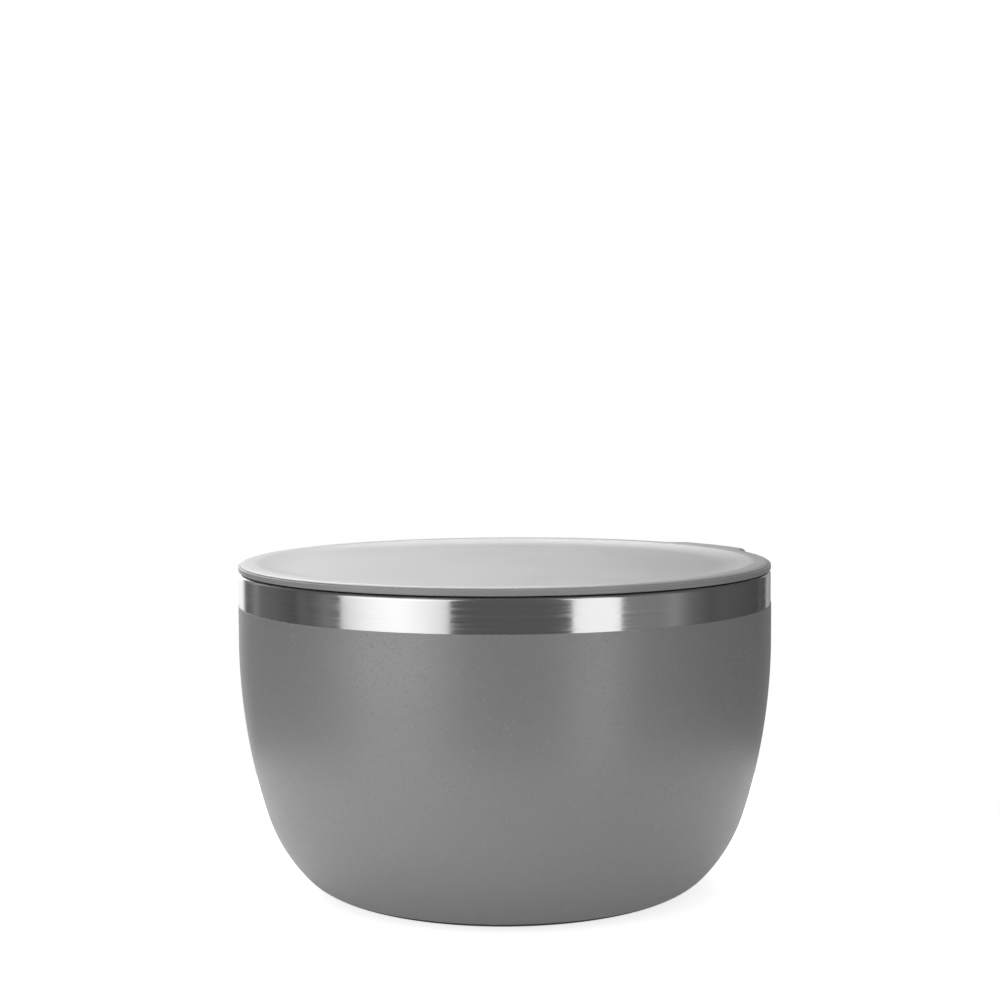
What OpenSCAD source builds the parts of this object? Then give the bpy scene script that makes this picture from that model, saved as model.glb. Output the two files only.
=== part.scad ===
// Vacuum-insulated stainless steel bowl with a press-in lid.
// The bowl stands on the table plane, z = 0, with its axis on z.
// The pull tab of the lid points along +y.

/* [Bowl outline] */
// Outside diameter over the powder coat
bowl_d = 146; // [135:1:160]
// Height of the rim above the table, without the lid
rim_h = 87.6; // [84:0.1:100]
// Radius of the long upper curve of the side
side_r = 160; // [140:1:175]
// Height of the straight wall below the rim
straight_h = 18.4; // [16:0.1:21]
// Radius of the haunch below the side
haunch_r = 42; // [38:0.5:46]
// Angle to the vertical at which the haunch runs into the heel
haunch_at = 43.7; // [40:0.1:47]
// Radius of the heel that runs into the foot
heel_r = 16.4; // [13:0.1:18]

/* [Walls] */
// Thickness of the steel sheet of both shells
wall_t = 0.5; // [0.4:0.05:0.8]
// Thickness of the powder coat
coat_t = 0.15; // [0.08:0.01:0.25]
// Height of the bare steel band below the rim
band_h = 8.9; // [6:0.1:14]
// Width of the rim from the inside of the liner to the outside of the outer shell
rim_w = 4.6; // [4:0.1:6]
// Outside radius of both corners of the rim
rim_corner_r = 1; // [0.9:0.1:1.8]
// Width of the weld bead on the crown of the rim
weld_w = 0.8; // [0.4:0.1:0.9]
// How far the root of the weld hangs below the sheet
weld_root = 0.2; // [0.1:0.05:0.4]
// Vacuum gap between the two shells at the base
base_gap = 4; // [3.6:0.1:6]

/* [Radiation barrier] */
// Thickness of the copper foil around the liner
foil_t = 0.1; // [0.05:0.01:0.2]
// How far the foil reaches up the straight part of the liner
foil_rise = 4; // [1:0.5:6]

/* [Base of the outer shell] */
// Radius of the flat top of the dimple in the base
dimple_r = 6; // [5:0.5:7]
// Height of the dimple
dimple_h = 1.2; // [0.9:0.1:1.4]
// Diameter of the evacuation hole
vent_d = 1.6; // [1:0.1:2]
// Diameter of the glass bead that seals the hole
bead_d = 5; // [4:0.5:7]
// Height of the glass bead below the dimple
bead_h = 0.7; // [0.5:0.1:0.8]
// Diameter of the disc that covers the dimple
cover_d = 20; // [18:0.5:22]
// Thickness of the cover disc
cover_t = 0.3; // [0.2:0.05:0.4]

/* [Getter] */
// Diameter of the getter pill
getter_d = 8; // [6:0.5:10]
// Height of the getter pill
getter_h = 2; // [1.5:0.1:2.3]
// Distance of the getter from the axis of the bowl
getter_place = 24; // [20:0.5:28]
// Width of the strap that holds the getter
clip_w = 3; // [2:0.5:4]
// Thickness of the strap
clip_t = 0.3; // [0.2:0.05:0.4]
// Length of each welded end of the strap
clip_foot = 2.5; // [2:0.5:3.5]

/* [Foot pad] */
// Thickness of the silicone foot pad
pad_t = 2; // [1.6:0.1:2.6]
// Thickness of the adhesive film above the pad
glue_t = 0.15; // [0.1:0.01:0.25]
// How far the adhesive stays back from the edge of the pad
glue_inset = 1; // [0.5:0.1:3]
// Gap around the cover disc in the pocket of the pad
pocket_gap = 1; // [0.5:0.1:1.5]
// Depth of the ring grooves in the underside of the pad
groove_depth = 0.6; // [0.4:0.1:0.8]
// Width of each ring groove
groove_w = 1.4; // [1:0.1:2]
// Distance between ring grooves
groove_pitch = 8; // [7:0.5:9]
// Number of ring grooves
groove_count = 4; // [2:1:4]

/* [Lid] */
// How far the edge of the lid stays back from the outside of the coat
lid_inset = 0.1; // [0:0.05:0.4]
// Thickness of the edge of the lid
lid_edge_t = 2.15; // [2:0.05:3]
// Radius on the upper corner of the edge
lid_corner_r = 0.8; // [0.4:0.1:0.95]
// Radius on the lower corner of the edge
lid_under_r = 0.4; // [0.2:0.1:0.9]
// Gap between the edge of the lid and the rim
seat_gap = 0.3; // [0.1:0.05:0.4]
// Depth of the dish in the top of the lid
dish_depth = 1.3; // [0.8:0.1:1.6]
// Width of the raised border around the dish
border_w = 5; // [4:0.5:6]
// Width of the hollow curve between the border and the floor of the dish
dish_curve_w = 10; // [7:0.5:14]
// Thickness of the floor of the dish
panel_t = 2; // [1.6:0.1:2.4]
// How far the plug ring reaches down into the bowl
plug_depth = 7.3; // [6.5:0.1:9]
// Thickness of the plug ring
plug_t = 2.4; // [2.2:0.1:3]
// Gap between the plug ring and the liner
plug_gap = 0.35; // [0.3:0.05:0.5]
// Chamfer on the lower outer corner of the plug ring
plug_chamfer = 0.6; // [0.3:0.1:0.8]

/* [Pull tab] */
// How far the tab reaches past the edge of the lid
tab_reach = 3.8; // [3:0.1:6]
// Width of the tab where it leaves the edge of the lid
tab_root_w = 33.6; // [30:0.2:40]
// Width of the tab at its outer edge
tab_tip_w = 24.6; // [20:0.2:29]

/* [Gasket] */
// Height of the gasket, which fills its groove in the plug ring
gasket_h = 2.8; // [2.2:0.1:3.2]
// Depth of the gasket in the plug ring
gasket_depth = 1.3; // [1:0.1:1.5]
// Distance from the lower edge of the plug ring up to the gasket
gasket_rise = 2.1; // [1.6:0.1:2.4]
// Gap around the gasket in its groove
gasket_slack = 0.05; // [0.03:0.01:0.08]
// Gap between the lips of the gasket and the liner
gasket_gap = 0.15; // [0.1:0.05:0.25]
// Thickness of each lip of the gasket at its root
gasket_lip_t = 0.8; // [0.6:0.1:0.9]

/* [Hidden] */
$fn = 180;

// Overrun of a cut past the face that it opens
cut = 1;
// Number of straight steps in each curve of a section
arc_steps = 14;
// A quarter turn
quarter = 90;

// Outline of the coat: a straight wall, then the side, haunch and heel curves, each tangent to the next
bowl_r = bowl_d / 2;
side_c = [bowl_r - side_r, rim_h - straight_h];
side_turn = asin((side_c.y - heel_r - (haunch_r - heel_r) * sin(haunch_at)) / (side_r - haunch_r));
haunch_turn = haunch_at - side_turn;
haunch_c = side_c + (side_r - haunch_r) * [cos(side_turn), -sin(side_turn)];
heel_c = haunch_c + (haunch_r - heel_r) * [cos(haunch_at), -sin(haunch_at)];

// Depths of the liner below the surface of the coat, to its face and to its back
liner_depth = coat_t + rim_w;
liner_back = liner_depth - wall_t;

// Heights, from the table up
base_z = pad_t + glue_t;
base_top = base_z + wall_t;
dimple_z = base_z + dimple_h;
liner_lift = base_top + base_gap + wall_t - liner_depth;
foil_top = side_c.y + liner_lift + foil_rise;
coat_top = rim_h - band_h;
lip_z = rim_h - rim_corner_r;

// Radii of the rim
shell_r = bowl_r - coat_t;
bore_r = bowl_r - liner_depth;
crown_r = shell_r - rim_w / 2;

// Foot pad: the angle and radius at which its upper edge meets the heel curve, and its pocket
pad_at = asin((heel_r - pad_t) / heel_r);
pad_r = heel_c.x + heel_r * cos(pad_at);
pocket_r = cover_d / 2 + pocket_gap;
pocket_z = base_z - cover_t - glue_t;

// Lid
lid_r = bowl_r - lid_inset;
lid_low_z = rim_h + seat_gap;
lid_top_z = lid_low_z + lid_edge_t;
dish_z = lid_top_z - dish_depth;
panel_z = dish_z - panel_t;
border_r = lid_r - border_w;
floor_r = border_r - dish_curve_w;
dish_curve_r = (dish_curve_w * dish_curve_w + dish_depth * dish_depth) / (2 * dish_depth);
plug_r = bore_r - plug_gap;
plug_z = lid_low_z - plug_depth;
tab_r = lid_r + tab_reach;

// Gasket and the groove around it
gasket_r = plug_r - gasket_depth;
gasket_z = plug_z + gasket_rise;
gasket_top = gasket_z + gasket_h;
gasket_tip_r = bore_r - gasket_gap;
groove_r = gasket_r - gasket_slack;
groove_z = gasket_z - gasket_slack;
groove_top_z = gasket_top + gasket_slack;

// Points along an arc, without its first one
function arc(centre, radius, start, turn) =
    [for (i = [1 : arc_steps]) let(a = start + turn * i / arc_steps) centre + radius * [cos(a), sin(a)]];

// A list of points from its last to its first
function reversed(points) = [for (i = [len(points) - 1 : -1 : 0]) points[i]];

// Half section through the bowl's curves at a depth below the coat's surface, from the foot of the
// straight wall down to a floor. The lift raises the curves.
function curves(depth, lift, floor_z) =
    let(drop = heel_r - floor_z + lift, radius = heel_r - depth)
    let(floor_at = drop < radius ? asin(drop / radius) : quarter)
    concat(
        [[bowl_r - depth, side_c.y + lift]],
        arc(side_c + [0, lift], side_r - depth, 0, -side_turn),
        arc(haunch_c + [0, lift], haunch_r - depth, -side_turn, -haunch_turn),
        arc(heel_c + [0, lift], radius, -haunch_at, haunch_at - floor_at)
    );

// Outer shell's face, at a depth below it, from the weld down to the evacuation hole
function shell_path(depth) = concat(
    [[crown_r + weld_w / 2, rim_h - depth], [shell_r - rim_corner_r, rim_h - depth]],
    arc([shell_r - rim_corner_r, lip_z], rim_corner_r - depth, quarter, -quarter),
    curves(coat_t + depth, 0, base_z + depth),
    [[dimple_r + dimple_h, base_z + depth], [dimple_r, dimple_z + depth], [vent_d / 2, dimple_z + depth]]
);

// Liner's face, at a depth behind it, from the weld down to the axis
function liner_path(depth) = concat(
    [[crown_r - weld_w / 2, rim_h - depth], [bore_r + rim_corner_r, rim_h - depth]],
    arc([bore_r + rim_corner_r, lip_z], rim_corner_r - depth, quarter, quarter),
    curves(liner_depth - depth, liner_lift, 0),
    [[0, liner_lift + liner_depth - depth]]
);

// Coat's face, at a depth below it, from the bare band down to the foot
function coat_path(depth) = concat([[bowl_r - depth, coat_top]], curves(depth, 0, base_z));

// Foil's face, at a depth below the coat, from its upper edge down to the axis
function foil_path(depth) = concat(
    [[bowl_r - depth, foil_top]], curves(depth, liner_lift, 0), [[0, liner_lift + depth]]
);

// Rounded edge of the lid around an outer radius, from the top down to the underside
function edge_path(outer) = concat(
    [[outer - lid_corner_r, lid_top_z]],
    arc([outer - lid_corner_r, lid_top_z - lid_corner_r], lid_corner_r, quarter, -quarter),
    [[outer, lid_low_z + lid_under_r]],
    arc([outer - lid_under_r, lid_low_z + lid_under_r], lid_under_r, 0, -quarter)
);

// Round sheet between two paths
module sheet(face, back) {
    rotate_extrude() polygon(concat(face, reversed(back)));
}

// Outer shell, drawn in one piece, with the outer half of the rim and a dimple in its base
module outer_shell() {
    color("silver") sheet(shell_path(0), shell_path(wall_t));
}

// Liner, drawn in one piece, with the inner half of the rim
module inner_shell() {
    color("gainsboro") sheet(liner_path(0), liner_path(wall_t));
}

// Weld bead that joins the two shells on the crown, ground flush on top
module rim_weld() {
    color("lightsteelblue") rotate_extrude()
        translate([crown_r - weld_w / 2, rim_h - wall_t - weld_root])
            square([weld_w, wall_t + weld_root]);
}

// Powder coat, from the bare band down to the foot
module powder_coat() {
    color("dimgray") sheet(coat_path(0), coat_path(coat_t));
}

// Copper foil that wraps the back of the liner
module copper_foil() {
    color("peru") sheet(foil_path(liner_back - foil_t), foil_path(liner_back));
}

// Getter pill that stands on the inside of the base
module getter() {
    color("slategray") translate([0, getter_place, base_top]) cylinder(d = getter_d, h = getter_h);
}

// Strap over the getter, spot-welded at both ends
module getter_clip() {
    half = getter_d / 2;
    leg = half + clip_t;
    reach = leg + clip_foot;
    color("darkgray") translate([0, getter_place + clip_w / 2, base_top]) rotate([quarter, 0, 0])
        linear_extrude(clip_w) polygon([
            [-reach, 0], [-half, 0], [-half, getter_h], [half, getter_h], [half, 0], [reach, 0],
            [reach, clip_t], [leg, clip_t], [leg, getter_h + clip_t],
            [-leg, getter_h + clip_t], [-leg, clip_t], [-reach, clip_t]
        ]);
}

// Glass bead that closes the evacuation hole from below
module seal_bead() {
    color("seagreen") {
        translate([0, 0, dimple_z - bead_h]) cylinder(d1 = bead_d - bead_h, d2 = bead_d, h = bead_h);
        translate([0, 0, dimple_z]) cylinder(d = vent_d, h = wall_t);
    }
}

// Disc that covers the dimple
module seal_cover() {
    color("lightgray") translate([0, 0, base_z - cover_t]) cylinder(d = cover_d, h = cover_t);
}

// Film of adhesive between the base and the foot pad
module foot_adhesive() {
    color("khaki") rotate_extrude()
        translate([pocket_r, pad_t]) square([pad_r - glue_inset - pocket_r, glue_t]);
}

// Silicone foot pad, which carries on the curve of the heel, with ring grooves in its underside
module foot_pad() {
    color("#202020") rotate_extrude() difference() {
        polygon(concat(
            [[0, 0], [0, pocket_z], [pocket_r, pocket_z], [pocket_r, pad_t], [pad_r, pad_t]],
            arc(heel_c, heel_r, -pad_at, pad_at - quarter)
        ));
        for (i = [0 : groove_count - 1])
            translate([pocket_r + i * groove_pitch, -cut]) square([groove_w, groove_depth + cut]);
    }
}

// Moulded lid: dished panel, plug ring with the groove for the gasket, and pull tab in one piece
module lid_panel() {
    dish_turn = asin(dish_curve_w / dish_curve_r);
    color("darkgray") {
        rotate_extrude() polygon(concat(
            [[0, panel_z], [0, dish_z], [floor_r, dish_z]],
            arc([floor_r, dish_z + dish_curve_r], dish_curve_r, -quarter, dish_turn),
            edge_path(lid_r),
            [[plug_r, lid_low_z], [plug_r, groove_top_z], [groove_r, groove_top_z]],
            [[groove_r, groove_z], [plug_r, groove_z]],
            [[plug_r, plug_z + plug_chamfer], [plug_r - plug_chamfer, plug_z]],
            [[plug_r - plug_t, plug_z], [plug_r - plug_t, panel_z]]
        ));
        pull_tab();
    }
}

// Pull tab: the edge of the lid carried out to a larger radius, trimmed to a tapered outline
module pull_tab() {
    root = [tab_root_w / 2, sqrt(lid_r * lid_r - tab_root_w * tab_root_w / 4)];
    tip = [tab_tip_w / 2, sqrt(tab_r * tab_r - tab_tip_w * tab_tip_w / 4)];
    side = (tip - root) / (tip.y - root.y);
    inner = root + side * (border_r + cut - root.y);
    outer = root + side * (tab_r + cut - root.y);
    intersection() {
        rotate_extrude() polygon(concat([[border_r, lid_low_z], [border_r, lid_top_z]], edge_path(tab_r)));
        translate([0, 0, lid_low_z - cut]) linear_extrude(lid_edge_t + cut + cut)
            polygon([inner, outer, [-outer.x, outer.y], [-inner.x, inner.y]]);
    }
}

// Silicone gasket with two lips, stretched into the groove of the plug ring
module lid_gasket() {
    color("#303030") rotate_extrude() polygon([
        [gasket_r, gasket_z], [gasket_r, gasket_top],
        [gasket_tip_r, gasket_top], [plug_r, gasket_top - gasket_lip_t],
        [plug_r, gasket_z + gasket_lip_t], [gasket_tip_r, gasket_z + gasket_lip_t], [plug_r, gasket_z]
    ]);
}

outer_shell();
inner_shell();
rim_weld();
powder_coat();
copper_foil();
getter();
getter_clip();
seal_bead();
seal_cover();
foot_adhesive();
foot_pad();
lid_panel();
lid_gasket();
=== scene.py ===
import math

import bmesh
import bpy
from mathutils import Matrix, Vector, noise


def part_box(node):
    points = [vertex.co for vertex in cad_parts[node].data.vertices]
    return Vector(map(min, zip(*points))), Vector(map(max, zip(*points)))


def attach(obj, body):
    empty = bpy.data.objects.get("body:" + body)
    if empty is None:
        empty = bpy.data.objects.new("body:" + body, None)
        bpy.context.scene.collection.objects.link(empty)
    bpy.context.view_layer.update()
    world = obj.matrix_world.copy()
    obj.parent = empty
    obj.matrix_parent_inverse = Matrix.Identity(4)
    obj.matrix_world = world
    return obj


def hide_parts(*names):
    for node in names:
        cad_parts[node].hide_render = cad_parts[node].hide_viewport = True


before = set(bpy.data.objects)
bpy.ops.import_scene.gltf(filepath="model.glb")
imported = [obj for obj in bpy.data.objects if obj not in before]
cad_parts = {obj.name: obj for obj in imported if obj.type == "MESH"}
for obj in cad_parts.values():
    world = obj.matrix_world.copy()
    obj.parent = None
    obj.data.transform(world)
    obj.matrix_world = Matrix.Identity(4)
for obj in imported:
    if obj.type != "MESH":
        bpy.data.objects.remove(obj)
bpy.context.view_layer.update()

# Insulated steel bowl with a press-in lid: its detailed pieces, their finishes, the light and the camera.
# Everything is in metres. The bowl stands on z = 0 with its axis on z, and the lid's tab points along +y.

MM = 0.001
FULL = math.tau
QUARTER = math.pi / 2

# Allowance for rounding, the widest gap that is merged, and the angle past which an edge is sharp
ROUNDING = 0.01 * MM
MERGE_GAP = 0.002 * MM
SHARP_ANGLE = math.radians(35)

# Ways along the side, haunch and heel
DOWN = 1
UP = -1

# Outline of the bowl over its coat
SIDE_R = 160 * MM
STRAIGHT_H = 18.4 * MM
HAUNCH_R = 42 * MM
HAUNCH_AT = math.radians(43.7)
HEEL_R = 16.4 * MM

# Sheet, coat, rim and foil
WALL_T = 0.5 * MM
COAT_T = 0.15 * MM
COAT_EDGE_R = 0.07 * MM
RIM_W = 4.6 * MM
RIM_CORNER_R = 1 * MM
WELD_W = 0.8 * MM
FOIL_CRUMPLE = 0.35 * MM
FOIL_FOLD = 9 * MM

# Base of the outer shell, and the foot pad
DIMPLE_R = 6 * MM
DIMPLE_H = 1.2 * MM
VENT_R = 0.8 * MM
GLASS_EDGE_R = 0.08 * MM
SHEET_BEND_R = 0.4 * MM
POCKET_EDGE_R = 0.1 * MM
GROOVE_W = 1.4 * MM
GROOVE_DEPTH = 0.6 * MM
GROOVE_PITCH = 8 * MM
GROOVE_COUNT = 4
PAD_CORNER_R = 0.25 * MM

# Getter strap
CLIP_T = 0.3 * MM
CLIP_FOOT = 2.5 * MM
CLIP_BEND_R = 0.15 * MM
CLIP_EDGE_R = 0.04 * MM

# Lid and gasket
LID_EDGE_T = 2.15 * MM
LID_UNDER_R = 0.35 * MM
EDGE_BEND_R = 3 * MM
EDGE_TURN = math.radians(27)
BEAD_R = 0.28 * MM
STEP_W = 0.45 * MM
STEP_DEPTH = 0.72 * MM
STEP_R = 0.2 * MM
STEP_INNER_R = 0.06 * MM
BORDER_W = 4 * MM
BORDER_SOFT_R = 8 * MM
BORDER_FALL = 0.05 * MM
DISH_CURVE_W = 11 * MM
DISH_DEPTH = 1.3 * MM
PANEL_T = 2 * MM
PLUG_GAP = 0.35 * MM
PLUG_T = 2.4 * MM
PLUG_CHAMFER = 0.6 * MM
CHAMFER_EDGE_R = 0.2 * MM
PLUG_FILLET = 0.8 * MM
GROOVE_SLACK = 0.05 * MM
GROOVE_EDGE_R = 0.12 * MM
GATE_R = 3 * MM
GATE_DEPTH = 0.4 * MM
GATE_EDGE_R = 0.1 * MM
GASKET_LIP_T = 0.8 * MM
TAB_ROOT_W = 35.2 * MM
TAB_TIP_W = 23.2 * MM

# Steps round a turned piece, and in the arcs and straight stretches of an outline
TURN_STEPS = 288
LID_TURN_STEPS = 560
SMALL_TURN_STEPS = 96
ARC_STEPS = 16
LINE_STEPS = 8
CORNER_STEPS = 5

# Camera, fitted to the ellipses of the rim, the coat's edge and the base in the photograph
PHOTO_AZIMUTH = math.radians(56.7)
CAMERA_DISTANCE = 547.6 * MM
CAMERA_HEIGHT = 142.2 * MM
CAMERA_PITCH = math.radians(3.748)
CAMERA_YAW = math.radians(-0.121)
CAMERA_ROLL = math.radians(0.3)
FOCAL_SHARE = 1.9917
SENSOR_W = 36
SIGHT_NEAR = 10 * MM
SIGHT_FAR = 20

# Shade of the coat, what its ground and its bumps multiply it by, where the bumps are painted paler as a
# painted glint, the range of its roughness, the height from a pit to the top of a bump, and the share of that
# height that the grain of the ground has
COAT_SHADE = 0.24
GROUND_AND_GLINT_TONE = (1.03, 1.24)
COAT_ROUGHNESS = (0.35, 0.39)
COAT_RELIEF = 0.11 * MM
GROUND_RELIEF = 0.02

# Waves of orange peel and specks for each grain, and the share of the grain in the relief
PEEL_SCALE = 0.3
SPECK_SCALE = 1.3
GRAIN_SHARE = 0.7

# What the specks give on even ground, where 0 is a pit and 1 is a bump
EVEN_GROUND = 0.5

# Values of a noise between which a speck sinks into a pit, and between which it rises to a bump
PIT_RANGE = (0.29, 0.35)
BUMP_RANGE = (0.65, 0.71)

# Values that most of a noise lies between
NOISE_LOW = 0.3
NOISE_HIGH = 0.7

# Shade of the lid, and depth of the lines of the brush
LID_SHADE = 0.33
BRUSH_RELIEF = 0.0008 * MM

# Floor: its glow for the camera, its sheen in reflections, its paint, and how near to a surface it is clear,
# so that it doesn't black out the pad that stands on it
FLOOR_R = 0.17
FLOOR_STEPS = 128
FLOOR_GLOW = 0.78
FLOOR_SHEEN = 0.27
FLOOR_PAINT = 0.95
TOUCH_GAP = 1.5 * MM

# Brightness of the ceiling, and the sines of the elevations between which the walls turn into it. Far below,
# between two more, they turn into a white ground.
CEILING = 0.15
CEILING_FROM = (0.3, 0.8)
GROUND_TO = (-0.9, -0.7)

# Bright patch on the backdrop: its angle to the right of the camera, its elevation and its brightness, and
# the cosines of the angles off its middle where it has faded out and where it is full
PATCH_RIGHT = math.radians(-154)
PATCH_RISE = math.radians(22)
PATCH_LIGHT = 1.1
PATCH_FADE = (0.85, 0.985)

# Brightness of the walls round the bowl, by the angle to the right of the camera in degrees
WALLS = (
    (-180, 0.5), (-168, 0.95), (-152, 1.0), (-147, 0.16), (-141, 0.15), (-131, 0.33), (-127, 0.2),
    (-113, 0.17), (-98, 0.11), (-96, 0.18), (-88, 0.15), (-80, 0.28), (-72, 0.2), (-20, 0.14), (20, 0.145),
    (50, 0.31), (68, 0.3), (75, 0.38), (84, 0.2), (96, 0.12), (104, 0.135), (124, 0.11), (136, 0.09),
    (138, 0.1), (140, 0.16), (142, 0.11), (149, 0.1), (152, 0.5), (164, 0.3), (180, 0.5),
)

# Height of the point that the lamps face
LAMP_AIM_Z = 60 * MM


# Sizes taken from the parts of model.glb


def widest(node):
    """Largest distance of a node's surface from the axis of the bowl."""
    return max(vertex.co.xy.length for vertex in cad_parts[node].data.vertices)


def narrowest(node):
    """Smallest distance of a node's surface from the axis of the bowl."""
    return min(vertex.co.xy.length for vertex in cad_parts[node].data.vertices)


def lowest(node):
    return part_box(node)[0].z


def highest(node):
    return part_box(node)[1].z


BOWL_R = widest("powder_coat")
COAT_TOP_Z = highest("powder_coat")
BASE_Z = lowest("outer_shell")
BASE_TOP_Z = BASE_Z + WALL_T
DIMPLE_Z = BASE_Z + DIMPLE_H
RIM_Z = highest("outer_shell")
LIP_Z = RIM_Z - RIM_CORNER_R
SHELL_R = BOWL_R - COAT_T
LINER_DEPTH = COAT_T + RIM_W
LINER_BACK = LINER_DEPTH - WALL_T
LINER_LIFT = lowest("inner_shell") - LINER_BACK
FLOOR_Z = LINER_LIFT + LINER_DEPTH
BORE_R = BOWL_R - LINER_DEPTH
CROWN_R = SHELL_R - RIM_W / 2
LID_TOP_Z = highest("lid_panel")
LID_LOW_Z = LID_TOP_Z - LID_EDGE_T
LID_R = -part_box("lid_panel")[0].y
TAB_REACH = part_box("lid_panel")[1].y - LID_R
BORDER_R = LID_R - BORDER_W
EDGE_CROWN_R = LID_R - STEP_W - BEAD_R + (BEAD_R - EDGE_BEND_R) * math.sin(EDGE_TURN)
PLUG_R = BORE_R - PLUG_GAP
PLUG_Z = lowest("lid_panel")

# Centres of the side, haunch and heel arcs, as radius and height
SIDE_C = Vector((BOWL_R - SIDE_R, RIM_Z - STRAIGHT_H))
SIDE_TURN = math.asin((SIDE_C.y - HEEL_R - (HAUNCH_R - HEEL_R) * math.sin(HAUNCH_AT)) / (SIDE_R - HAUNCH_R))
HAUNCH_C = SIDE_C + (SIDE_R - HAUNCH_R) * Vector((math.cos(SIDE_TURN), -math.sin(SIDE_TURN)))
HEEL_C = HAUNCH_C + (HAUNCH_R - HEEL_R) * Vector((math.cos(HAUNCH_AT), -math.sin(HAUNCH_AT)))
FULL_HEEL = QUARTER - HAUNCH_AT


# How the pieces are shaped


class Outline:
    """A half section that is drawn in the xz plane, from point to point, and then turned round the axis."""

    def __init__(self, radius, height):
        self.mesh = bmesh.new()
        self.first = self.last = self.mesh.verts.new((radius, 0, height))
        self.corners = []

    def line(self, radius, height, steps=1, corner=0):
        """A straight stretch to a point, where a corner of that size is rounded later."""
        start, end = self.last.co.copy(), Vector((radius, 0, height))
        for step in range(1, steps + 1):
            self.last = bmesh.ops.extrude_vert_indiv(self.mesh, verts=[self.last])["verts"][0]
            self.last.co = start.lerp(end, step / steps)
        if corner:
            self.corners.append((self.last, corner))
        return self

    def arc(self, centre, turn, steps=ARC_STEPS):
        """An arc about a centre, clockwise where the turn is positive."""
        made = bmesh.ops.spin(
            self.mesh, geom=[self.last], cent=(centre[0], 0, centre[1]), axis=(0, 1, 0), angle=turn,
            steps=steps)
        self.last = next(item for item in made["geom_last"] if isinstance(item, bmesh.types.BMVert))
        return self

    def bowl(self, lift, heel, way, steps=ARC_STEPS):
        """The side, haunch and heel of the bowl, from where the outline is, downwards or upwards."""
        arcs = [(SIDE_C, SIDE_TURN), (HAUNCH_C, HAUNCH_AT - SIDE_TURN), (HEEL_C, heel)]
        for centre, angle in arcs[::way]:
            self.arc(centre + Vector((0, lift)), way * angle, steps)
        return self

    def close(self):
        self.mesh.edges.new((self.last, self.first))
        return self

    def finished(self):
        """The mesh of the section, with its corners rounded."""
        for vertex, size in self.corners:
            bmesh.ops.bevel(
                self.mesh, geom=[vertex], offset=size, offset_type="OFFSET", segments=CORNER_STEPS,
                profile=0.5, affect="VERTICES", material=-1)
        return self.mesh

    def turned(self, steps=TURN_STEPS):
        """The section turned round the axis: an eighth of a turn, which is then doubled three times."""
        mesh = self.finished()
        bmesh.ops.spin(
            mesh, geom=mesh.verts[:] + mesh.edges[:], cent=(0, 0, 0), axis=(0, 0, 1), angle=FULL / 8,
            steps=steps // 8)
        for angle in (FULL / 8, FULL / 4, FULL / 2):
            copied = bmesh.ops.duplicate(mesh, geom=mesh.verts[:] + mesh.edges[:] + mesh.faces[:])["geom"]
            bmesh.ops.rotate(
                mesh, verts=[item for item in copied if isinstance(item, bmesh.types.BMVert)], cent=(0, 0, 0),
                matrix=Matrix.Rotation(angle, 3, "Z"))
        return tidy(mesh)


def tidy(mesh):
    """Merges doubles at seams and poles, and points the faces outwards."""
    bmesh.ops.remove_doubles(mesh, verts=mesh.verts[:], dist=MERGE_GAP)
    bmesh.ops.recalc_face_normals(mesh, faces=mesh.faces[:])
    return mesh


def heel_to(floor_z, depth):
    """Angle of the heel arc, at a depth below the coat, from the haunch down to a floor."""
    return math.asin((HEEL_R - floor_z) / (HEEL_R - depth)) - HAUNCH_AT


def on_heel(heel, depth):
    """Point of the heel arc at an angle past the haunch, at a depth below the coat."""
    angle = HAUNCH_AT + heel
    return HEEL_C + (HEEL_R - depth) * Vector((math.cos(angle), -math.sin(angle)))


def as_piece(mesh, name, node, body, material):
    """Makes a piece of the object from a mesh, in place of a node of model.glb."""
    data = bpy.data.meshes.new(name)
    mesh.to_mesh(data)
    mesh.free()
    data.shade_smooth()
    data.set_sharp_from_angle(angle=SHARP_ANGLE)
    data.materials.append(material)
    piece = bpy.data.objects.new(name, data)
    bpy.context.scene.collection.objects.link(piece)
    weighted = piece.modifiers.new("flat_faces_stay_flat", "WEIGHTED_NORMAL")
    weighted.keep_sharp = True
    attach(piece, body)
    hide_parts(node)
    return piece


# Pieces of the bowl


def outer_shell(steel):
    """Outer shell with its half of the rim, the bare band, and the dimple and evacuation hole in its base."""
    depth = COAT_T + WALL_T
    heel_out, heel_in = heel_to(BASE_Z, COAT_T), heel_to(BASE_TOP_Z, depth)
    lip = (SHELL_R - RIM_CORNER_R, LIP_Z)
    weld_at = CROWN_R + WELD_W / 2
    shell = Outline(weld_at, RIM_Z)
    shell.line(lip[0], RIM_Z, 2).arc(lip, QUARTER)
    shell.line(SHELL_R, COAT_TOP_Z, LINE_STEPS).line(SHELL_R, SIDE_C.y, LINE_STEPS)
    shell.bowl(0, heel_out, DOWN)
    shell.line(DIMPLE_R + DIMPLE_H, BASE_Z, LINE_STEPS, SHEET_BEND_R)
    shell.line(DIMPLE_R, DIMPLE_Z, 1, SHEET_BEND_R)
    shell.line(VENT_R, DIMPLE_Z, 2).line(VENT_R, DIMPLE_Z + WALL_T)
    shell.line(DIMPLE_R, DIMPLE_Z + WALL_T, 2, SHEET_BEND_R)
    shell.line(DIMPLE_R + DIMPLE_H, BASE_TOP_Z, 1, SHEET_BEND_R)
    shell.line(on_heel(heel_in, depth).x, BASE_TOP_Z, LINE_STEPS).bowl(0, heel_in, UP)
    shell.line(SHELL_R - WALL_T, LIP_Z, LINE_STEPS).arc(lip, -QUARTER)
    shell.line(weld_at, RIM_Z - WALL_T, 2).close()
    return as_piece(shell.turned(), "steel_outer_shell", "outer_shell", "bowl", steel)


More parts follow.
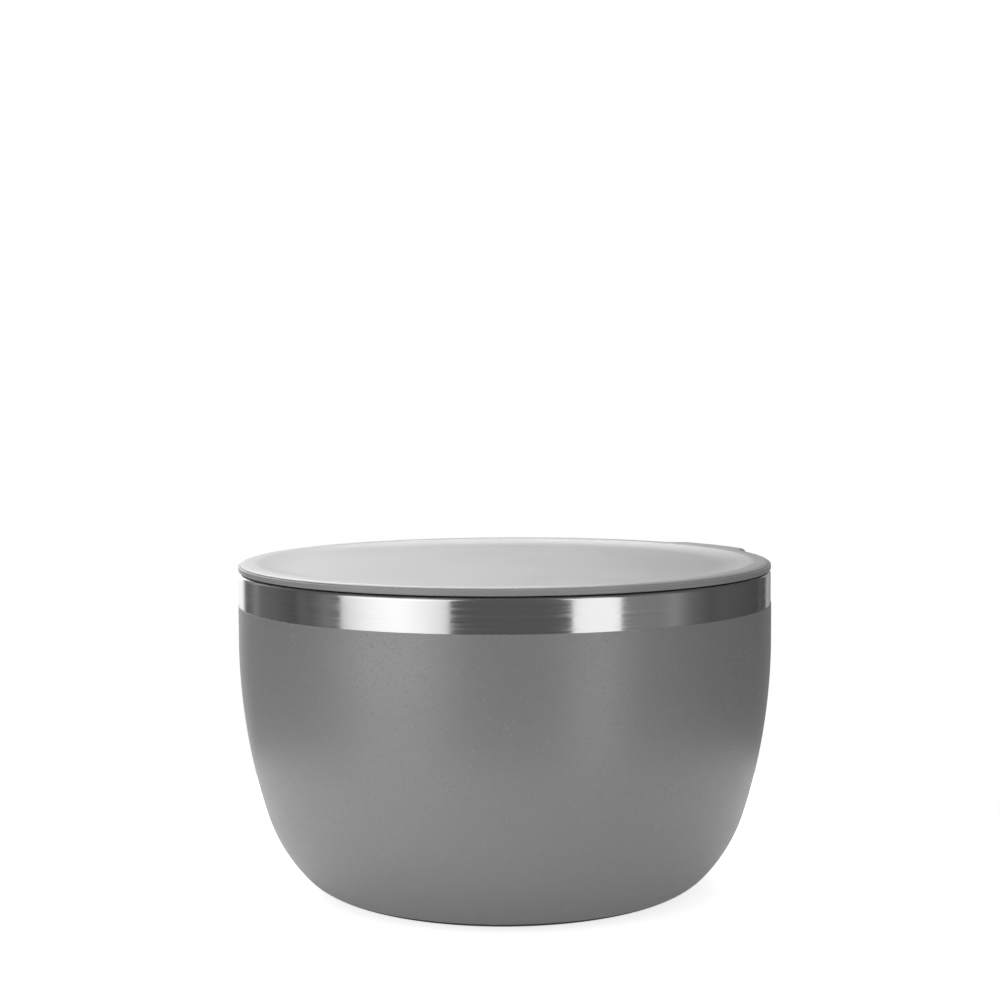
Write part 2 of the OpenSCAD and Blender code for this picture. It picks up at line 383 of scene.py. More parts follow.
def liner(steel):
    """Liner with its half of the rim, drawn from the middle of its floor round the rim and back."""
    lip = (BORE_R + RIM_CORNER_R, LIP_Z)
    weld_at = CROWN_R - WELD_W / 2
    sheet = Outline(0, FLOOR_Z)
    sheet.line(HEEL_C.x, FLOOR_Z, ARC_STEPS).bowl(LINER_LIFT, FULL_HEEL, UP, 2 * ARC_STEPS)
    sheet.line(BORE_R, LIP_Z, LINE_STEPS).arc(lip, QUARTER)
    sheet.line(weld_at, RIM_Z, 2).line(weld_at, RIM_Z - WALL_T).line(lip[0], RIM_Z - WALL_T, 2)
    sheet.arc(lip, -QUARTER).line(BORE_R + WALL_T, SIDE_C.y + LINER_LIFT, LINE_STEPS)
    sheet.bowl(LINER_LIFT, FULL_HEEL, DOWN).line(0, FLOOR_Z - WALL_T, LINE_STEPS)
    return as_piece(sheet.turned(), "steel_liner", "inner_shell", "bowl", steel)


def crown_weld(steel):
    """Weld bead on the crown of the rim, ground flush on top, with a rounded root."""
    root_z, left, right = lowest("rim_weld"), CROWN_R - WELD_W / 2, CROWN_R + WELD_W / 2
    root_r = RIM_Z - WALL_T - root_z
    bead = Outline(left, RIM_Z)
    bead.line(right, RIM_Z, 2).line(right, root_z, 2, root_r).line(left, root_z, 1, root_r).close()
    return as_piece(bead.turned(), "crown_weld_bead", "rim_weld", "bowl", steel)


def coat(powder):
    """Powder coat over the shell, with a soft edge below the bare band."""
    heel_out, heel_in = heel_to(BASE_Z, 0), heel_to(BASE_Z, COAT_T)
    skin = Outline(SHELL_R, COAT_TOP_Z)
    skin.line(BOWL_R, COAT_TOP_Z, 2, COAT_EDGE_R).line(BOWL_R, SIDE_C.y, LINE_STEPS)
    skin.bowl(0, heel_out, DOWN, 2 * ARC_STEPS).line(on_heel(heel_in, COAT_T).x, BASE_Z)
    skin.bowl(0, heel_in, UP, 2 * ARC_STEPS).close()
    return as_piece(skin.turned(), "powder_coat_skin", "powder_coat", "bowl", powder)


def foil(copper):
    """Copper foil wrapped round the back of the liner, with folds that stand off it here and there."""
    top_z, low_z = highest("copper_foil"), lowest("copper_foil")
    depth = low_z - LINER_LIFT
    wrap = Outline(0, FLOOR_Z - WALL_T)
    wrap.line(HEEL_C.x, FLOOR_Z - WALL_T, ARC_STEPS).bowl(LINER_LIFT, FULL_HEEL, UP)
    wrap.line(BOWL_R - LINER_BACK, top_z, 2).line(BOWL_R - depth, top_z)
    wrap.line(BOWL_R - depth, SIDE_C.y + LINER_LIFT, 2).bowl(LINER_LIFT, FULL_HEEL, DOWN)
    wrap.line(0, low_z, ARC_STEPS)
    mesh = wrap.turned()
    middle = Vector((0, 0, (top_z + low_z) / 2))
    for vertex in mesh.verts:
        spot = (vertex.co - middle).normalized()
        fold = abs(noise.noise(spot * BOWL_R / FOIL_FOLD))
        fold += abs(noise.noise(spot * 2 * BOWL_R / FOIL_FOLD)) / 2
        below_top = min(1, (top_z - vertex.co.z) / FOIL_FOLD)
        vertex.co += spot * FOIL_CRUMPLE * fold * below_top
    return as_piece(mesh, "copper_foil_wrap", "copper_foil", "bowl", copper)


def getter_pill(alloy):
    """Pressed getter pill with chamfered edges and a shallow dish in its top."""
    low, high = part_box("getter")
    radius, chamfer = (high.x - low.x) / 2, 0.3 * MM
    pill = Outline(0, low.z)
    pill.line(radius - chamfer, low.z, 3).line(radius, low.z + chamfer).line(radius, high.z - chamfer, 2)
    pill.line(radius - chamfer, high.z).line(radius - 2 * chamfer, high.z)
    pill.line(radius - 4 * chamfer, high.z - chamfer, 1, chamfer).line(0, high.z - chamfer, 3)
    mesh = pill.turned(SMALL_TURN_STEPS)
    bmesh.ops.translate(mesh, vec=(0, (low.y + high.y) / 2, 0), verts=mesh.verts[:])
    return as_piece(mesh, "getter_pill", "getter", "bowl", alloy)


def getter_strap(steel):
    """Spring strap over the getter: a flat strip with rounded bends and soft edges."""
    low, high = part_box("getter_clip")
    reach, half = high.x, high.x - CLIP_FOOT - CLIP_T
    leg, outer_bend = half + CLIP_T, CLIP_BEND_R + CLIP_T
    under, over = high.z - CLIP_T, low.z + CLIP_T
    strip = Outline(-reach, low.z)
    strip.line(-half, low.z, 2, outer_bend).line(-half, under, 2, CLIP_BEND_R)
    strip.line(half, under, 4, CLIP_BEND_R).line(half, low.z, 2, outer_bend).line(reach, low.z, 2)
    strip.line(reach, over).line(leg, over, 2, CLIP_BEND_R).line(leg, high.z, 2, outer_bend)
    strip.line(-leg, high.z, 4, outer_bend).line(-leg, over, 2, CLIP_BEND_R).line(-reach, over, 2).close()
    mesh = strip.finished()
    side = bmesh.ops.contextual_create(mesh, geom=mesh.edges[:])["faces"]
    moved = bmesh.ops.extrude_face_region(mesh, geom=side)["geom"]
    far = [item for item in moved if isinstance(item, bmesh.types.BMVert)]
    bmesh.ops.translate(mesh, vec=(0, high.y - low.y, 0), verts=far)
    bmesh.ops.translate(mesh, vec=(0, low.y, 0), verts=mesh.verts[:])
    edges = [edge for edge in mesh.edges if abs(edge.verts[0].co.y - edge.verts[1].co.y) < ROUNDING]
    bmesh.ops.bevel(
        mesh, geom=edges, offset=CLIP_EDGE_R, offset_type="OFFSET", segments=2, profile=0.5, affect="EDGES",
        material=-1)
    return as_piece(tidy(mesh), "getter_strap", "getter_clip", "bowl", steel)


def sealing_glass(glass):
    """Drop of sealing glass that has melted into the evacuation hole."""
    low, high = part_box("seal_bead")
    radius, drop_h = widest("seal_bead"), DIMPLE_Z - low.z
    round_r = (radius * radius + drop_h * drop_h) / (2 * drop_h)
    drop = Outline(0, high.z)
    drop.line(VENT_R, high.z, 3).line(VENT_R, DIMPLE_Z, 3).line(radius, DIMPLE_Z, 4, GLASS_EDGE_R)
    drop.arc((0, low.z + round_r), math.asin(radius / round_r))
    mesh = drop.turned(SMALL_TURN_STEPS)
    return as_piece(mesh, "sealing_glass_drop", "seal_bead", "bowl", glass)


def dimple_cover(steel):
    """Stamped disc over the dimple, with soft edges and a shallow ring pressed into it."""
    low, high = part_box("seal_cover")
    radius, edge, press, ring_w = widest("seal_cover"), 0.08 * MM, 0.06 * MM, 0.8 * MM
    ring_r = 0.8 * radius
    disc = Outline(0, high.z)
    disc.line(radius, high.z, 6, edge).line(radius, low.z, 2, edge).line(ring_r, low.z, 2)
    disc.line(ring_r - press, low.z + press).line(ring_r - ring_w, low.z + press, 2)
    disc.line(ring_r - ring_w - press, low.z).line(0, low.z, 6)
    mesh = disc.turned(SMALL_TURN_STEPS)
    return as_piece(mesh, "dimple_cover_disc", "seal_cover", "bowl", steel)


def adhesive_film(film):
    """Ring of adhesive above the foot pad, with edges that have flowed a little."""
    low_z, high_z = lowest("foot_adhesive"), highest("foot_adhesive")
    inner, outer, soft = narrowest("foot_adhesive"), widest("foot_adhesive"), 0.06 * MM
    ring = Outline(inner, low_z)
    ring.line(outer, low_z, LINE_STEPS, soft).line(outer, high_z, 1, soft)
    ring.line(inner, high_z, LINE_STEPS, soft).close()
    return as_piece(ring.turned(), "foot_adhesive_film", "foot_adhesive", "bowl", film)


def foot_pad(silicone):
    """Silicone pad that carries on the curve of the heel, with ring grooves in its underside."""
    pad_z, pocket_r = highest("foot_pad"), narrowest("foot_adhesive")
    pocket_z = lowest("seal_cover") - (highest("foot_adhesive") - lowest("foot_adhesive"))
    heel = heel_to(pad_z, 0)
    pad = Outline(0, pocket_z)
    pad.line(pocket_r, pocket_z, 4, POCKET_EDGE_R).line(pocket_r, pad_z, 1, POCKET_EDGE_R)
    pad.line(on_heel(heel, 0).x, pad_z, LINE_STEPS).arc(HEEL_C, FULL_HEEL - heel)
    for ring in reversed(range(GROOVE_COUNT)):
        inner = pocket_r + ring * GROOVE_PITCH
        outer = inner + GROOVE_W
        pad.line(outer, 0, 4, PAD_CORNER_R).line(outer, GROOVE_DEPTH, 1, PAD_CORNER_R)
        pad.line(inner, GROOVE_DEPTH, 1, PAD_CORNER_R).line(inner, 0, 1, PAD_CORNER_R)
    pad.line(0, 0, LINE_STEPS)
    return as_piece(pad.turned(), "silicone_foot_pad", "foot_pad", "bowl", silicone)


# Pieces of the lid


def lid_section():
    """Half section of the lid, from the middle of its top round the edge and the plug to the middle below."""
    dish_z, panel_z, step_z = LID_TOP_Z - DISH_DEPTH, LID_TOP_Z - DISH_DEPTH - PANEL_T, LID_TOP_Z - STEP_DEPTH
    slope = 2 * math.atan(DISH_DEPTH / DISH_CURVE_W)
    hollow_r, dish_r = BORDER_R - DISH_CURVE_W, DISH_CURVE_W / math.sin(slope) - BORDER_SOFT_R
    groove_r = narrowest("lid_gasket") - GROOVE_SLACK
    groove_low, groove_top = lowest("lid_gasket") - GROOVE_SLACK, highest("lid_gasket") + GROOVE_SLACK
    plug_in = PLUG_R - PLUG_T
    lid = Outline(0, dish_z)
    lid.line(hollow_r, dish_z, ARC_STEPS).arc((hollow_r, dish_z + dish_r), -slope)
    lid.arc((BORDER_R, LID_TOP_Z - BORDER_SOFT_R), slope, 6)
    crown_z = LID_TOP_Z - BORDER_FALL
    lid.line(EDGE_CROWN_R, crown_z, 4).arc((EDGE_CROWN_R, crown_z - EDGE_BEND_R), EDGE_TURN, 6)
    bead = (LID_R - STEP_W - BEAD_R, lid.last.co.z - BEAD_R * math.cos(EDGE_TURN))
    lid.arc(bead, QUARTER - EDGE_TURN, 6).line(LID_R - STEP_W, step_z, 1, STEP_INNER_R)
    lid.line(LID_R, step_z, 1, STEP_R).line(LID_R, LID_LOW_Z, 3, LID_UNDER_R)
    lid.line(PLUG_R, LID_LOW_Z, 4, PLUG_FILLET).line(PLUG_R, groove_top, 1, GROOVE_EDGE_R)
    lid.line(groove_r, groove_top, 2, GROOVE_EDGE_R).line(groove_r, groove_low, 4, GROOVE_EDGE_R)
    lid.line(PLUG_R, groove_low, 2, GROOVE_EDGE_R).line(PLUG_R, PLUG_Z + PLUG_CHAMFER, 2, CHAMFER_EDGE_R)
    lid.line(PLUG_R - PLUG_CHAMFER, PLUG_Z, 1, CHAMFER_EDGE_R).line(plug_in, PLUG_Z, 2, PLUG_CHAMFER)
    lid.line(plug_in, panel_z, LINE_STEPS, PLUG_FILLET)
    lid.line(GATE_R, panel_z, ARC_STEPS, GATE_DEPTH / 2)
    lid.line(GATE_R - GATE_DEPTH, panel_z + GATE_DEPTH, 1, GATE_EDGE_R)
    lid.line(0, panel_z + GATE_DEPTH, 2)
    return lid


def tab_at(across):
    """How far the pull tab reaches past the edge of the lid, at a distance from its middle."""
    share = min(max((TAB_ROOT_W / 2 - abs(across)) / (TAB_ROOT_W / 2 - TAB_TIP_W / 2), 0), 1)
    return TAB_REACH * share * share * (3 - 2 * share)


def moulded_lid(plastic):
    """Dished lid with its plug ring, and a pull tab that swells out of the edge on the +y side."""
    mesh = lid_section().turned(LID_TURN_STEPS)
    for vertex in mesh.verts:
        radius = vertex.co.xy.length
        share = min((radius - BORDER_R) / (EDGE_CROWN_R - BORDER_R), 1)
        if share > 0 and vertex.co.y > 0 and vertex.co.z > LID_LOW_Z - ROUNDING:
            reach = share * tab_at(LID_R * vertex.co.x / radius)
            vertex.co.xy += vertex.co.xy * reach / radius
    return as_piece(mesh, "moulded_lid", "lid_panel", "lid", plastic)


def lid_gasket(silicone):
    """Gasket stretched into the groove of the plug, with two rounded lips."""
    low, high = lowest("lid_gasket"), highest("lid_gasket")
    inner, tip, soft = narrowest("lid_gasket"), widest("lid_gasket"), 0.08 * MM
    ring = Outline(inner, low)
    ring.line(inner, high, 6).line(tip, high, 4, soft).line(PLUG_R, high - GASKET_LIP_T, 2, soft)
    ring.line(PLUG_R, low + GASKET_LIP_T, 3, soft).line(tip, low + GASKET_LIP_T, 1, soft)
    ring.line(PLUG_R, low, 2, soft).close()
    return as_piece(ring.turned(), "lid_gasket_ring", "lid_gasket", "lid", silicone)


# Finishes

NUMBER = "NodeSocketFloat"
VECTOR = "NodeSocketVector"
COLOR = "NodeSocketColor"


def add(tree, kind, inputs=(), **settings):
    """Adds a node with its settings. Its inputs, by name or number, are values or sockets to join."""
    made = tree.nodes.new(kind)
    for name, value in settings.items():
        setattr(made, name, value)
    for socket, value in dict(inputs).items():
        if isinstance(value, bpy.types.NodeSocket):
            tree.links.new(value, made.inputs[socket])
        else:
            made.inputs[socket].default_value = value
    return made


def math_of(tree, operation, first, second):
    """A Math node of two numbers or sockets. Gives its result."""
    return add(tree, "ShaderNodeMath", {0: first, 1: second}, operation=operation).outputs[0]


def spread(tree, value, low, high, start=NOISE_LOW, end=NOISE_HIGH):
    """Spreads a value between start and end out to low and high. Gives the result."""
    values = {"Value": value, "From Min": start, "From Max": end, "To Min": low, "To Max": high}
    return add(tree, "ShaderNodeMapRange", values).outputs["Result"]


def cloud(tree, position, scale, detail=2, roughness=0.5):
    """A noise over a position. Gives its value."""
    values = {"Vector": position, "Scale": scale, "Detail": detail, "Roughness": roughness}
    return add(tree, "ShaderNodeTexNoise", values).outputs["Fac"]


def scaled(tree, color, share):
    """A colour times a share. Gives the result."""
    return add(tree, "ShaderNodeVectorMath", {0: color, "Scale": share}, operation="SCALE").outputs[0]


def new_effect(name, inputs, outputs):
    """A shader node group with named inputs and outputs. Gives the group and its inputs."""
    effect = bpy.data.node_groups.new(name, "ShaderNodeTree")
    for socket, kind in inputs.items():
        effect.interface.new_socket(socket, in_out="INPUT", socket_type=kind)
    for socket, kind in outputs.items():
        effect.interface.new_socket(socket, in_out="OUTPUT", socket_type=kind)
    return effect, add(effect, "NodeGroupInput").outputs


def brush_lines():
    """Lines of a brush that ran round the axis, over walls, floors and the slopes between them."""
    effect, given = new_effect(
        "brush_lines", {"Position": VECTOR, "Lines per metre": NUMBER, "Breaks per metre": NUMBER},
        {"Lines": NUMBER})
    place = add(effect, "ShaderNodeSeparateXYZ", {0: given["Position"]}).outputs
    flat = add(effect, "ShaderNodeCombineXYZ", {0: place[0], 1: place[1]}).outputs[0]
    radius = add(effect, "ShaderNodeVectorMath", {0: flat}, operation="LENGTH").outputs["Value"]
    across = math_of(effect, "MULTIPLY", math_of(effect, "ADD", place[2], radius), given["Lines per metre"])
    along = [math_of(effect, "MULTIPLY", place[axis], given["Breaks per metre"]) for axis in (0, 1)]
    brushed = add(effect, "ShaderNodeCombineXYZ", {0: along[0], 1: along[1], 2: across}).outputs[0]
    fine, broad = cloud(effect, brushed, 1, detail=3, roughness=0.6), cloud(effect, brushed, 0.3)
    lines = spread(effect, math_of(effect, "MULTIPLY", math_of(effect, "ADD", fine, broad), 0.5), 0, 1)
    add(effect, "NodeGroupOutput", {"Lines": lines})
    return effect


def fine_grain():
    """Grain of a coat, a moulding or a pressed powder, with a few specks that stand out from it."""
    effect, given = new_effect(
        "fine_grain", {"Position": VECTOR, "Grains per metre": NUMBER},
        {"Height": NUMBER, "Shade": NUMBER, "Specks": NUMBER})
    size = given["Grains per metre"]
    grain = cloud(effect, given["Position"], size, roughness=0.55)
    peel = cloud(effect, given["Position"], math_of(effect, "MULTIPLY", size, PEEL_SCALE), detail=1)
    specks = cloud(effect, given["Position"], math_of(effect, "MULTIPLY", size, SPECK_SCALE), detail=1)
    bumps = spread(effect, specks, EVEN_GROUND, 1, *BUMP_RANGE)
    pits = spread(effect, specks, 0, EVEN_GROUND, *PIT_RANGE)
    rough = math_of(
        effect, "ADD", math_of(effect, "MULTIPLY", grain, GRAIN_SHARE),
        math_of(effect, "MULTIPLY", peel, 1 - GRAIN_SHARE))
    add(effect, "NodeGroupOutput", {
        "Height": spread(effect, rough, 0, 1), "Shade": spread(effect, grain, 0, 1),
        "Specks": math_of(effect, "ADD", bumps, math_of(effect, "SUBTRACT", pits, EVEN_GROUND))})
    return effect


def soft_mottle():
    """Slow change of a colour over a surface, as a share above and below it."""
    effect, given = new_effect(
        "soft_mottle", {"Position": VECTOR, "Patches per metre": NUMBER, "Color": COLOR, "Amount": NUMBER},
        {"Color": COLOR, "Patches": NUMBER})
    patches = cloud(effect, given["Position"], given["Patches per metre"], detail=3)
    darker = math_of(effect, "SUBTRACT", 1.0, given["Amount"])
    lighter = math_of(effect, "ADD", given["Amount"], 1.0)
    share = spread(effect, patches, darker, lighter)
    color = scaled(effect, given["Color"], share)
    add(effect, "NodeGroupOutput", {"Color": color, "Patches": spread(effect, patches, 0, 1)})
    return effect


class Finish:
    """A material with one Principled BSDF, whose even values are set on its own sockets."""

    def __init__(self, name, even=()):
        self.material = bpy.data.materials.new(name)
        self.material.use_nodes = True
        self.tree = self.material.node_tree
        self.tree.nodes.clear()
        self.shader = add(self.tree, "ShaderNodeBsdfPrincipled", even)
        add(self.tree, "ShaderNodeOutputMaterial", {"Surface": self.shader.outputs[0]})
        self.position = add(self.tree, "ShaderNodeTexCoord").outputs["Object"]

    def effect(self, group, **values):
        """Places an effect on the surface, with its own values. Gives the effect's outputs."""
        inputs = {name.replace("_", " ").capitalize(): value for name, value in values.items()}
        inputs["Position"] = self.position
        return add(self.tree, "ShaderNodeGroup", inputs, node_tree=group).outputs

    def feed(self, socket, value):
        self.tree.links.new(value, self.shader.inputs[socket])

    def bump(self, height, distance):
        """Raises the surface by a height from 0 to 1 over a distance in metres."""
        made = add(self.tree, "ShaderNodeBump", {"Height": height, "Distance": distance, "Strength": 1.0})
        self.feed("Normal", made.outputs[0])


def grey(value):
    return (value, value, value, 1.0)


def brushed_steel(name, color, smooth, rough, lines, streaks=0.08, anisotropic=0.65):
    """Steel brushed round the axis. Its roughness and shade follow the lines of the brush."""
    steel = Finish(name, {"Metallic": 1.0, "Anisotropic": anisotropic, "Anisotropic Rotation": 0.25})
    brushed = steel.effect(BRUSH, lines_per_metre=lines, breaks_per_metre=45.0)["Lines"]
    shade = steel.effect(MOTTLE, patches_per_metre=40.0, color=grey(color), amount=0.03)["Color"]
    streaked = spread(steel.tree, brushed, 1 - streaks, 1 + streaks, 0, 1)
    steel.feed("Base Color", scaled(steel.tree, shade, streaked))
    steel.feed("Roughness", spread(steel.tree, brushed, smooth, rough, 0, 1))
    steel.bump(brushed, BRUSH_RELIEF)
    steel.feed("Tangent", add(steel.tree, "ShaderNodeTangent", direction_type="RADIAL", axis="Z").outputs[0])
    return steel.material


def powder_finish():
    """Satin powder coat: a smooth ground with a faint orange peel, small pits, and small bumps painted paler
    as painted glints.
    """
    powder = Finish("satin_powder_coat", {"Metallic": 0.0, "IOR": 1.6, "Specular IOR Level": 1.0})
    grain = powder.effect(GRAIN, grains_per_metre=1300.0)
    even = powder.effect(MOTTLE, patches_per_metre=25.0, color=grey(COAT_SHADE), amount=0.02)
    # The colour of the bumps is painted paler: a painted glint that stands in for the light they catch.
    ground_and_glint_tone = spread(powder.tree, grain["Specks"], *GROUND_AND_GLINT_TONE, EVEN_GROUND, 1)
    powder.feed("Base Color", scaled(powder.tree, even["Color"], ground_and_glint_tone))
    powder.feed("Roughness", spread(powder.tree, grain["Shade"], *COAT_ROUGHNESS, 0, 1))
    ground = math_of(powder.tree, "MULTIPLY", grain["Height"], GROUND_RELIEF)
    powder.bump(math_of(powder.tree, "ADD", ground, grain["Specks"]), COAT_RELIEF)
    return powder.material


def moulded_finish(name, shade, smooth, rough, grains, height, mottle):
    """Moulded plastic, silicone or adhesive, with the fine texture of its mould."""
    moulded = Finish(name)
    grain = moulded.effect(GRAIN, grains_per_metre=grains)
    patches = moulded.effect(MOTTLE, patches_per_metre=60.0, color=shade, amount=mottle)
    moulded.feed("Base Color", patches["Color"])
    moulded.feed("Roughness", spread(moulded.tree, patches["Patches"], smooth, rough, 0, 1))
    moulded.bump(grain["Height"], height)
    return moulded.material


def copper_finish():
    """Bright copper foil with small creases and slightly tarnished patches."""
    copper = Finish("creased_copper_foil", {"Metallic": 1.0})
    patches = copper.effect(MOTTLE, patches_per_metre=55.0, color=(0.72, 0.38, 0.24, 1), amount=0.12)
    creases = add(copper.tree, "ShaderNodeTexVoronoi", {
        "Vector": copper.position, "Scale": 160.0}, feature="DISTANCE_TO_EDGE").outputs["Distance"]
    copper.feed("Base Color", patches["Color"])
    copper.feed("Roughness", spread(copper.tree, patches["Patches"], 0.16, 0.34, 0, 1))
    copper.bump(creases, 0.15 * MM)
    return copper.material


def sintered_finish():
    """Pressed and sintered getter alloy, matt, with open pores."""
    alloy = Finish("sintered_getter_alloy", {"Metallic": 0.6})
    grain = alloy.effect(GRAIN, grains_per_metre=6000.0)
    patches = alloy.effect(MOTTLE, patches_per_metre=700.0, color=(0.28, 0.28, 0.3, 1), amount=0.15)
    alloy.feed("Base Color", patches["Color"])
    alloy.feed("Roughness", spread(alloy.tree, grain["Shade"], 0.6, 0.85, 0, 1))
    alloy.bump(grain["Height"], 0.03 * MM)
    return alloy.material


def glass_finish():
    """Greenish sealing glass with faint flow marks."""
    glass = Finish("fused_sealing_glass", {"Metallic": 0.0, "Transmission Weight": 0.8, "IOR": 1.52})
    flow = glass.effect(GRAIN, grains_per_metre=1200.0)
    tint = glass.effect(MOTTLE, patches_per_metre=500.0, color=(0.2, 0.28, 0.25, 1), amount=0.1)
    glass.feed("Base Color", tint["Color"])
    glass.feed("Roughness", spread(glass.tree, flow["Shade"], 0.05, 0.12, 0, 1))
    glass.bump(flow["Height"], 0.01 * MM)
    return glass.material


# Camera, floor and light


def direction(right, rise):
    """Unit vector at an angle to the right of the -y axis and at an elevation."""
    return Vector((math.sin(right) * math.cos(rise), -math.cos(right) * math.cos(rise), math.sin(rise)))


def photo_camera():
    """Camera with the photograph's place, tilt and angle of view."""
    data = bpy.data.cameras.new("photo_camera")
    data.sensor_width = SENSOR_W
    data.lens = FOCAL_SHARE * SENSOR_W
    data.clip_start, data.clip_end = SIGHT_NEAR, SIGHT_FAR
    camera = bpy.data.objects.new("photo_camera", data)
    turn = Matrix.Rotation(PHOTO_AZIMUTH, 4, "Z")
    place = Matrix.Translation((0, -CAMERA_DISTANCE, CAMERA_HEIGHT))
    aim = (
        Matrix.Rotation(-CAMERA_YAW, 4, "Z") @ Matrix.Rotation(QUARTER - CAMERA_PITCH, 4, "X")
        @ Matrix.Rotation(-CAMERA_ROLL, 4, "Z"))
    camera.matrix_world = turn @ place @ aim
    bpy.context.scene.collection.objects.link(camera)
    return camera


def floor_disc():
    """Pale floor that shows white to the camera and keeps the shadow of the bowl. It is clear from below."""
    mesh = bmesh.new()
    bmesh.ops.create_circle(mesh, cap_ends=True, radius=FLOOR_R, segments=FLOOR_STEPS)
    data = bpy.data.meshes.new("pale_floor")
    mesh.to_mesh(data)
    mesh.free()
    floor = bpy.data.objects.new("pale_floor", data)
    bpy.context.scene.collection.objects.link(floor)
    data.materials.append(floor_finish())


def floor_finish():
    """White paint that glows for the camera, through glass and in reflections, so that it shows white."""
    material = bpy.data.materials.new("white_floor")
    material.use_nodes = True
    tree = material.node_tree
    tree.nodes.clear()
    path = add(tree, "ShaderNodeLightPath").outputs
    looked_at = math_of(tree, "MAXIMUM", path["Is Camera Ray"], path["Is Transmission Ray"])
    seen = math_of(tree, "MULTIPLY", looked_at, FLOOR_GLOW)
    mirrored = math_of(tree, "MULTIPLY", path["Is Glossy Ray"], FLOOR_SHEEN)
    glow = math_of(tree, "MAXIMUM", seen, mirrored)
    paint = add(tree, "ShaderNodeBsdfDiffuse", {"Color": grey(FLOOR_PAINT)}).outputs[0]
    light = add(tree, "ShaderNodeEmission", {"Color": grey(1), "Strength": glow}).outputs[0]
    white = add(tree, "ShaderNodeAddShader", {0: paint, 1: light}).outputs[0]
    clear = add(tree, "ShaderNodeBsdfTransparent").outputs[0]
    below = add(tree, "ShaderNodeNewGeometry").outputs["Backfacing"]
    touching = math_of(tree, "LESS_THAN", path["Ray Length"], TOUCH_GAP)
    hidden = math_of(tree, "MAXIMUM", below, touching)
    both = add(tree, "ShaderNodeMixShader", {0: hidden, 1: white, 2: clear})
    add(tree, "ShaderNodeOutputMaterial", {"Surface": both.outputs[0]})
    return material


def studio_world():
    """Room round the bowl: dim walls and ceiling, a pale backdrop behind the bowl, and a white ground."""
    world = bpy.data.worlds.new("studio")
    bpy.context.scene.world = world
    world.use_nodes = True
    tree = world.node_tree
    tree.nodes.clear()
    way = add(tree, "ShaderNodeTexCoord").outputs["Generated"]
    turned = add(tree, "ShaderNodeVectorRotate", {
        "Vector": way, "Angle": -PHOTO_AZIMUTH}, rotation_type="Z_AXIS").outputs[0]
    parts = add(tree, "ShaderNodeSeparateXYZ", {0: turned}).outputs
    angle = math_of(tree, "ARCTAN2", parts[0], math_of(tree, "MULTIPLY", parts[1], -1.0))
    walls = add(tree, "ShaderNodeValToRGB", {0: spread(tree, angle, 0, 1, -math.pi, math.pi)})
    stops = walls.color_ramp.elements
    while len(stops) > 1:
        stops.remove(stops[0])
    for number, (degrees, bright) in enumerate(WALLS):
        place = 0.5 + degrees / 360
        stop = stops.new(place) if number else stops[0]
        stop.position, stop.color = place, grey(bright)
    up = spread(tree, parts[2], 0, 1, *CEILING_FROM)
    room = add(tree, "ShaderNodeMix", {"Factor": up, 6: walls.outputs[0], 7: grey(CEILING)}, data_type="RGBA")
    down = spread(tree, parts[2], 1, 0, *GROUND_TO)
    lit = add(tree, "ShaderNodeMix", {"Factor": down, 6: room.outputs[2], 7: grey(1)}, data_type="RGBA")
    aim = direction(PATCH_RIGHT, PATCH_RISE)
    nearness = add(tree, "ShaderNodeVectorMath", {0: turned, 1: aim}, operation="DOT_PRODUCT")
    patch = spread(tree, nearness.outputs["Value"], 0, PATCH_LIGHT, *PATCH_FADE)
    path = add(tree, "ShaderNodeLightPath").outputs
    seen = math_of(tree, "MAXIMUM", path["Is Camera Ray"], path["Is Transmission Ray"])
    shown = add(tree, "ShaderNodeMix", {"Factor": seen, 6: lit.outputs[2], 7: grey(1)}, data_type="RGBA")
    unseen = math_of(tree, "SUBTRACT", 1.0, seen)
    strength = math_of(tree, "ADD", 1.0, math_of(tree, "MULTIPLY", patch, unseen))
    back = add(tree, "ShaderNodeBackground", {"Color": shown.outputs[2], "Strength": strength})
    add(tree, "ShaderNodeOutputWorld", {"Surface": back.outputs[0]})


def softbox(name, right, elevation, distance, width, height, radiance, beam=180):
    """Soft lamp that faces the bowl. Its angles are in degrees, the first one to the right of the camera."""
    light = bpy.data.lights.new(name, "AREA")
    light.shape, light.size, light.size_y = "RECTANGLE", width, height
    light.spread = math.radians(beam)
    # A narrower beam needs less energy for the same radiance.
    light.energy = radiance * math.pi * width * height * (1 - light.spread / 2 / math.tan(light.spread / 2))
    lamp = bpy.data.objects.new(name, light)
    way = direction(PHOTO_AZIMUTH + math.radians(right), math.radians(elevation))
    lamp.location = Vector((0, 0, LAMP_AIM_Z)) + distance * way
    lamp.rotation_euler = way.to_track_quat("Z", "Y").to_euler()
    lamp.visible_camera = False
    bpy.context.scene.collection.objects.link(lamp)


# The whole scene

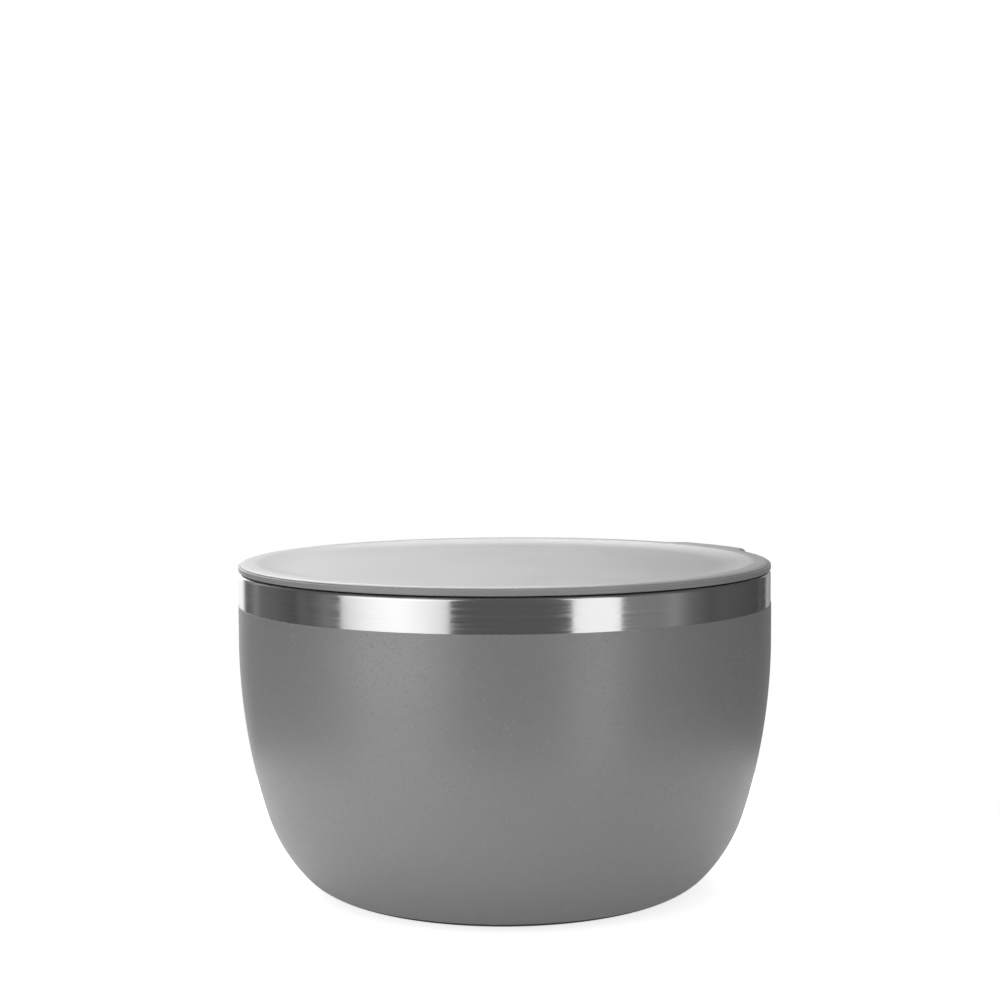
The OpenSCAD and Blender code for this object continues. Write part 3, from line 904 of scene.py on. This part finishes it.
bpy.context.scene.view_settings.view_transform = "Standard"
bpy.context.scene.camera = photo_camera()

BRUSH, GRAIN, MOTTLE = brush_lines(), fine_grain(), soft_mottle()

outer_shell(brushed_steel("brushed_band_steel", 0.56, smooth=0.07, rough=0.24, lines=3600.0, streaks=0.045))
liner(brushed_steel("brushed_liner_steel", 0.66, smooth=0.2, rough=0.32, lines=2800.0))
crown_weld(brushed_steel(
    "ground_weld_steel", 0.6, smooth=0.26, rough=0.4, lines=5200.0, streaks=0.12, anisotropic=0.5))
coat(powder_finish())
foil(copper_finish())
getter_pill(sintered_finish())
getter_strap(brushed_steel(
    "rolled_strap_steel", 0.6, smooth=0.24, rough=0.36, lines=4500.0, streaks=0.06, anisotropic=0.4))
sealing_glass(glass_finish())
dimple_cover(brushed_steel(
    "stamped_cover_steel", 0.6, smooth=0.28, rough=0.42, lines=3200.0, streaks=0.1, anisotropic=0.4))
adhesive_film(moulded_finish(
    "clear_tacky_adhesive", (0.62, 0.58, 0.45, 1), smooth=0.3, rough=0.5, grains=1500.0, height=0.01 * MM,
    mottle=0.08))
foot_pad(moulded_finish(
    "matt_foot_silicone", grey(0.02), smooth=0.55, rough=0.7, grains=3000.0, height=0.012 * MM, mottle=0.15))
moulded_lid(moulded_finish(
    "satin_lid_plastic", grey(LID_SHADE), smooth=0.32, rough=0.38, grains=2600.0, height=0.004 * MM,
    mottle=0.05))
lid_gasket(moulded_finish(
    "satin_gasket_silicone", grey(0.05), smooth=0.4, rough=0.55, grains=3000.0, height=0.006 * MM,
    mottle=0.1))

floor_disc()
studio_world()
softbox(
    "left_softbox", right=-45.8, elevation=10, distance=1.0, width=0.92, height=1.6, radiance=2.34, beam=88)
softbox("right_softbox", right=37.1, elevation=8, distance=1.0, width=0.37, height=1.4, radiance=1.3)
softbox("top_softbox", right=180, elevation=80, distance=1.1, width=1.2, height=1.2, radiance=1.32)
softbox("back_softbox", right=-163, elevation=37, distance=0.8, width=0.65, height=0.35, radiance=3.8)
